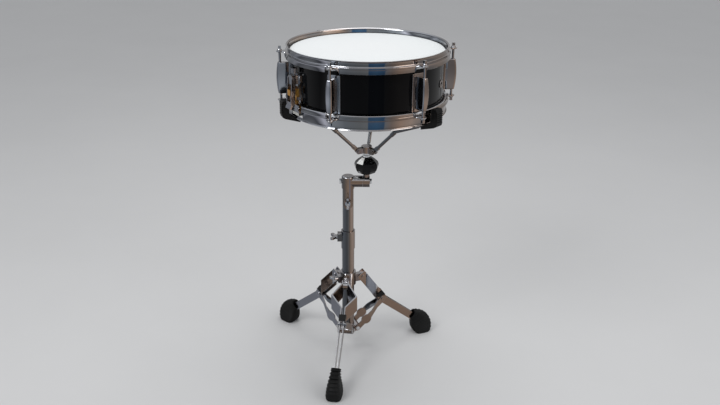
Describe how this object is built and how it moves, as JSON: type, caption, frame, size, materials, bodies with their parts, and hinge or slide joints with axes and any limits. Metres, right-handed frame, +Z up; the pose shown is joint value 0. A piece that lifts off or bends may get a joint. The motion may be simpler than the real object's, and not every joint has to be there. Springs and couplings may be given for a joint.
{
  "type": "snare drum",
  "caption": "Snare drum in a three-armed basket on a double-braced tripod stand, with folding legs, tilting head, height slide and a snare throw-off.",
  "frame": {"origin": "centre of the batter head's playing surface", "axes": "+Z up out of the playing surface, -Y towards the front leg, +X away from the stand's column"},
  "size_m": [0.4515, 0.4479, 0.8215],
  "materials": {
    "gloss_black": "gloss wrap",
    "head_white": "satin film",
    "head_clear": "clear film",
    "hoop_chrome": "polished",
    "chrome": "polished",
    "tube_chrome": "polished tube",
    "cast_metal": "polished casting",
    "flesh_metal": "satin",
    "zinc": "zinc plated",
    "snare_steel": "drawn wire",
    "strap_film": "flexible strap",
    "brass": "satin",
    "rubber": "matte moulded",
    "black_plastic": "moulded",
    "nylon": "moulded"
  },
  "bodies": {
    "stand_base": {"lower_tube": "tube_chrome", "base_hub": "cast_metal", "base_hub_pins": "zinc", "height_clamp": "cast_metal", "height_bushing": "nylon"},
    "height_wing": {"height_wing_bolt": "chrome"},
    "collar": {"leg_collar": "cast_metal"},
    "collar_wing": {"leg_collar_wing_bolt": "chrome"},
    "front_strut": {"front_brace": "chrome"},
    "right_strut": {"right_brace": "chrome"},
    "left_strut": {"left_brace": "chrome"},
    "front_limb": {"front_leg": "chrome", "front_foot": "rubber", "front_knee_cap": "black_plastic"},
    "right_limb": {"right_leg": "chrome", "right_foot": "rubber", "right_knee_cap": "black_plastic"},
    "left_limb": {"left_leg": "chrome", "left_foot": "rubber", "left_knee_cap": "black_plastic"},
    "mast": {"upper_tube": "tube_chrome"},
    "elbow": {"tilter_elbow": "cast_metal", "tilt_bolt": "zinc"},
    "elbow_wing": {"elbow_wing_screw": "chrome"},
    "cradle": {"tilt_head": "cast_metal", "basket_hub": "chrome", "basket_hub_pins": "zinc"},
    "sleeve": {"basket_sleeve": "zinc"},
    "nut": {"basket_nut": "black_plastic"},
    "left_claw": {"left_arm": "chrome", "left_grip": "rubber"},
    "right_claw": {"right_arm": "chrome", "right_grip": "rubber"},
    "back_claw": {"back_arm": "chrome", "back_grip": "rubber"},
    "drum": {"shell": "gloss_black", "vent_grommet": "chrome", "batter_head": "head_white", "batter_flesh_hoop": "flesh_metal", "batter_hoop": "hoop_chrome", "resonant_head": "head_clear", "resonant_flesh_hoop": "flesh_metal", "snare_side_hoop": "hoop_chrome", "lug_casings": "chrome", "lug_swivel_nuts": "brass", "lug_screws": "zinc", "tension_rods": "chrome", "rod_washers": "zinc", "throwoff_frame": "chrome", "butt_plate": "chrome", "butt_jaw": "chrome", "bracket_screws": "zinc"},
    "lever": {"throwoff_lever": "chrome"},
    "snares": {"throwoff_slide": "brass", "throwoff_jaw": "chrome", "snare_wires": "snare_steel", "snare_end_plates": "zinc", "snare_straps": "strap_film"},
    "knob": {"tension_knob": "chrome"}
  },
  "joints": [
    {"name": "leg_fold", "type": "hinge", "parent": "stand_base", "child": "front_strut", "pos_m": [-0.04765, -0.01982, -0.746], "axis": [-0.9912, 0.1323, 0], "range_deg": [0, 37.21], "stiffness_Nm_per_rad": 8, "springref_deg": -57.3},
    {"name": "right_brace_hinge", "type": "hinge", "parent": "stand_base", "child": "right_strut", "pos_m": [-0.02651, 0.00762, -0.746], "axis": [0.3811, -0.9245, 0], "range_deg": [0, 37.71], "stiffness_Nm_per_rad": 8, "springref_deg": -57.3},
    {"name": "left_brace_hinge", "type": "hinge", "parent": "stand_base", "child": "left_strut", "pos_m": [-0.06085, 0.0122, -0.746], "axis": [0.6101, 0.7923, 0], "range_deg": [0, 37.71], "stiffness_Nm_per_rad": 8, "springref_deg": -57.3},
    {"name": "front_knee", "type": "hinge", "parent": "front_strut", "child": "front_limb", "pos_m": [-0.0577, -0.09516, -0.679], "axis": [0.9912, -0.1323, 0], "range_deg": [0, 73.04]},
    {"name": "right_knee", "type": "hinge", "parent": "right_strut", "child": "right_limb", "pos_m": [0.04376, 0.03658, -0.679], "axis": [-0.3811, 0.9245, 0], "range_deg": [0, 73.04]},
    {"name": "left_knee", "type": "hinge", "parent": "left_strut", "child": "left_limb", "pos_m": [-0.12106, 0.05857, -0.679], "axis": [-0.6101, -0.7923, 0], "range_deg": [0, 73.04]},
    {"name": "collar_slide", "type": "slide", "parent": "stand_base", "child": "collar", "axis": [0, 0, 1], "range_m": [0, 0.05066]},
    {"name": "collar_wing_turn", "type": "hinge", "parent": "collar", "child": "collar_wing", "pos_m": [-0.07274, -0.01143, -0.596], "axis": [-0.9245, -0.3811, 0], "continuous": true},
    {"name": "height_wing_turn", "type": "hinge", "parent": "stand_base", "child": "height_wing", "pos_m": [-0.075, 0, -0.48], "axis": [-1, 0, 0], "continuous": true},
    {"name": "height_slide", "type": "slide", "parent": "stand_base", "child": "mast", "axis": [0, 0, 1], "range_m": [0, 0.15]},
    {"name": "elbow_swivel", "type": "hinge", "parent": "mast", "child": "elbow", "pos_m": [-0.045, 0, -0.37], "axis": [0, 0, 1], "continuous": true},
    {"name": "elbow_wing_turn", "type": "hinge", "parent": "elbow", "child": "elbow_wing", "pos_m": [-0.045, -0.02, -0.376], "axis": [0, -1, 0], "continuous": true},
    {"name": "basket_tilt", "type": "hinge", "parent": "elbow", "child": "cradle", "pos_m": [0, 0, -0.328], "axis": [1, 0, 0], "range_deg": [-60, 60]},
    {"name": "sleeve_slide", "type": "slide", "parent": "cradle", "child": "sleeve", "axis": [0, 0, 1], "range_m": [0, 0.00398]},
    {"name": "basket_nut_turn", "type": "hinge", "parent": "sleeve", "child": "nut", "pos_m": [0, 0, -0.285], "axis": [0, 0, 1], "range_deg": [0, 1800]},
    {"name": "left_arm_hinge", "type": "hinge", "parent": "cradle", "child": "left_claw", "pos_m": [-0.02067, -0.00752, -0.2465], "axis": [0.342, -0.9397, 0], "range_deg": [0, 18.2], "stiffness_Nm_per_rad": 2, "springref_deg": -5.73},
    {"name": "right_arm_hinge", "type": "hinge", "parent": "cradle", "child": "right_claw", "pos_m": [0.01685, -0.01414, -0.2465], "axis": [0.6428, 0.766, 0], "range_deg": [0, 18.2], "stiffness_Nm_per_rad": 2, "springref_deg": -5.73},
    {"name": "back_arm_hinge", "type": "hinge", "parent": "cradle", "child": "back_claw", "pos_m": [0.00382, 0.02167, -0.2465], "axis": [-0.9848, 0.1736, 0], "range_deg": [0, 18.2], "stiffness_Nm_per_rad": 2, "springref_deg": -5.73},
    {"name": "drum_lift", "type": "slide", "parent": "cradle", "child": "drum", "axis": [0, 0, 1], "range_m": [0, 0.1]},
    {"name": "snare_throw", "type": "hinge", "parent": "drum", "child": "lever", "pos_m": [-0.1652, -0.10323, -0.046], "axis": [-0.5299, 0.848, 0], "range_deg": [0, 75.2]},
    {"name": "snare_drop", "type": "slide", "parent": "drum", "child": "snares", "axis": [0, 0, -1], "range_m": [0, 0.003], "stiffness_N_per_m": 1500, "springref_m": -0.004},
    {"name": "tension_knob_turn", "type": "hinge", "parent": "drum", "child": "knob", "pos_m": [-0.15969, -0.09978, -0.029], "axis": [0, 0, 1], "continuous": true}
  ],
  "couplings": [
    {"joint": "right_brace_hinge", "follows": "leg_fold", "ratio": 1},
    {"joint": "left_brace_hinge", "follows": "leg_fold", "ratio": 1},
    {"joint": "front_knee", "follows": "leg_fold", "ratio": 1.9494},
    {"joint": "right_knee", "follows": "leg_fold", "ratio": 1.9494},
    {"joint": "left_knee", "follows": "leg_fold", "ratio": 1.9494},
    {"joint": "collar_slide", "follows": "leg_fold", "m_per_rad": 0.077219},
    {"joint": "basket_nut_turn", "follows": "sleeve_slide", "rad_per_m": 7874},
    {"joint": "left_arm_hinge", "follows": "sleeve_slide", "rad_per_m": 78.74},
    {"joint": "right_arm_hinge", "follows": "sleeve_slide", "rad_per_m": 78.74},
    {"joint": "back_arm_hinge", "follows": "sleeve_slide", "rad_per_m": 78.74},
    {"joint": "snare_throw", "follows": "snare_drop", "rad_per_m": 436.33}
  ]
}
